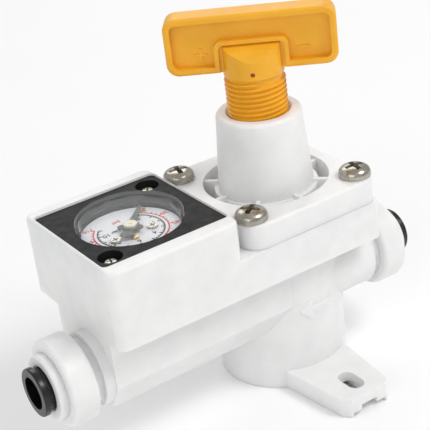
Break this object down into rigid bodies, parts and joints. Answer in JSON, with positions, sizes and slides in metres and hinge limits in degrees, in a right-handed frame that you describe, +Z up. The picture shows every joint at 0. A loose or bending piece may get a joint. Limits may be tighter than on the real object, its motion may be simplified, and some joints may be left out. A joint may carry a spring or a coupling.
{
  "type": "pressure reducing valve",
  "caption": "White plastic in-line pressure reducing valve with a T-handle adjusting screw, push-fit tube ports, slotted mounting lugs and a square-framed dial gauge.",
  "frame": {"origin": "in the base face, on the adjusting screw's axis", "axes": "+Z up the adjusting screw, +X from the screw towards the inlet port, -Y towards the side with the flow arrow"},
  "size_m": [0.1314, 0.085, 0.116],
  "materials": {
    "white_plastic": "satin moulded white plastic",
    "handle_plastic": "satin moulded orange-yellow plastic",
    "black_plastic": "satin black",
    "black_acetal": "satin",
    "clear_plastic": "clear moulded plastic",
    "rubber_black": "matte",
    "screw_steel": "plated, slightly warm",
    "spring_steel": "bright",
    "brass_parts": "machined",
    "bourdon_bronze": "dull",
    "can_steel": "satin dark grey",
    "dial_white": "matte printed white",
    "pointer_black": "matte"
  },
  "bodies": {
    "valve_body": {"body": "white_plastic", "bonnet": "white_plastic", "bonnet_screws": "screw_steel", "diaphragm": "rubber_black", "valve_seat": "brass_parts", "bottom_plug": "white_plastic", "bottom_plug_oring": "rubber_black", "outlet_cap": "white_plastic", "inlet_cap": "white_plastic", "outlet_tube_oring": "rubber_black", "inlet_tube_oring": "rubber_black", "gauge_case": "can_steel", "lens_gasket": "rubber_black", "gauge_lens": "clear_plastic", "gauge_bezel_plate": "black_plastic", "bezel_screws": "screw_steel", "gauge_socket": "brass_parts", "gauge_stem_oring": "rubber_black", "bourdon_tube": "bourdon_bronze", "movement_bottom_plate": "brass_parts", "movement_top_plate": "brass_parts", "movement_pillars": "brass_parts", "gauge_dial": "dial_white", "dial_screws": "screw_steel", "dial_locating_pin": "brass_parts", "movement_screw": "brass_parts"},
    "spring_seat": {"upper_spring_seat": "screw_steel"},
    "handle": {"adjusting_handle": "handle_plastic"},
    "diaphragm_group": {"diaphragm_plate": "screw_steel", "diaphragm_stud": "brass_parts", "diaphragm_nut": "brass_parts", "range_spring": "spring_steel"},
    "poppet": {"valve_poppet": "black_acetal", "poppet_seal": "rubber_black", "poppet_spring": "spring_steel"},
    "outlet_release": {"outlet_collet": "black_plastic", "outlet_grab_ring": "spring_steel"},
    "inlet_release": {"inlet_collet": "black_plastic", "inlet_grab_ring": "spring_steel"},
    "pointer": {"gauge_pointer": "pointer_black", "pointer_hub": "brass_parts", "pointer_shaft": "brass_parts"},
    "sector": {"sector_gear": "brass_parts"},
    "link": {"movement_link": "brass_parts"}
  },
  "joints": [
    {"name": "adjuster_travel", "type": "slide", "parent": "valve_body", "child": "spring_seat", "axis": [0, 0, 1], "range_m": [-0.006, 0.003], "deforming": ["range_spring"]},
    {"name": "handle_turn", "type": "hinge", "parent": "spring_seat", "child": "handle", "pos_m": [0, 0, 0.09], "axis": [0, 0, 1], "range_deg": [-1440, 720]},
    {"name": "diaphragm_lift", "type": "slide", "parent": "valve_body", "child": "diaphragm_group", "axis": [0, 0, 1], "range_m": [0, 0.0012], "deforming": ["range_spring", "diaphragm"]},
    {"name": "poppet_lift", "type": "slide", "parent": "valve_body", "child": "poppet", "axis": [0, 0, 1], "range_m": [0, 0.0012], "deforming": ["poppet_spring"]},
    {"name": "outlet_collet_push", "type": "slide", "parent": "valve_body", "child": "outlet_release", "axis": [1, 0, 0], "range_m": [0, 0.0013]},
    {"name": "inlet_collet_push", "type": "slide", "parent": "valve_body", "child": "inlet_release", "axis": [-1, 0, 0], "range_m": [0, 0.0013]},
    {"name": "pointer_turn", "type": "hinge", "parent": "valve_body", "child": "pointer", "pos_m": [-0.04745, 0.0002, 0.06], "axis": [0, 0, 1], "range_deg": [-270, 0]},
    {"name": "sector_swing", "type": "hinge", "parent": "valve_body", "child": "sector", "pos_m": [-0.04745, -0.0103, 0.0543], "axis": [0, 0, 1], "range_deg": [0, 45]},
    {"name": "link_swing", "type": "hinge", "parent": "sector", "child": "link", "pos_m": [-0.04745, -0.0137, 0.0543], "axis": [0, 0, 1], "range_deg": [-45, 0]}
  ],
  "couplings": [
    {"joint": "adjuster_travel", "follows": "handle_turn", "m_per_rad": 0.00023873},
    {"joint": "poppet_lift", "follows": "diaphragm_lift", "ratio": 1},
    {"joint": "sector_swing", "follows": "pointer_turn", "ratio": -0.16667},
    {"joint": "link_swing", "follows": "pointer_turn", "ratio": 0.16667}
  ]
}
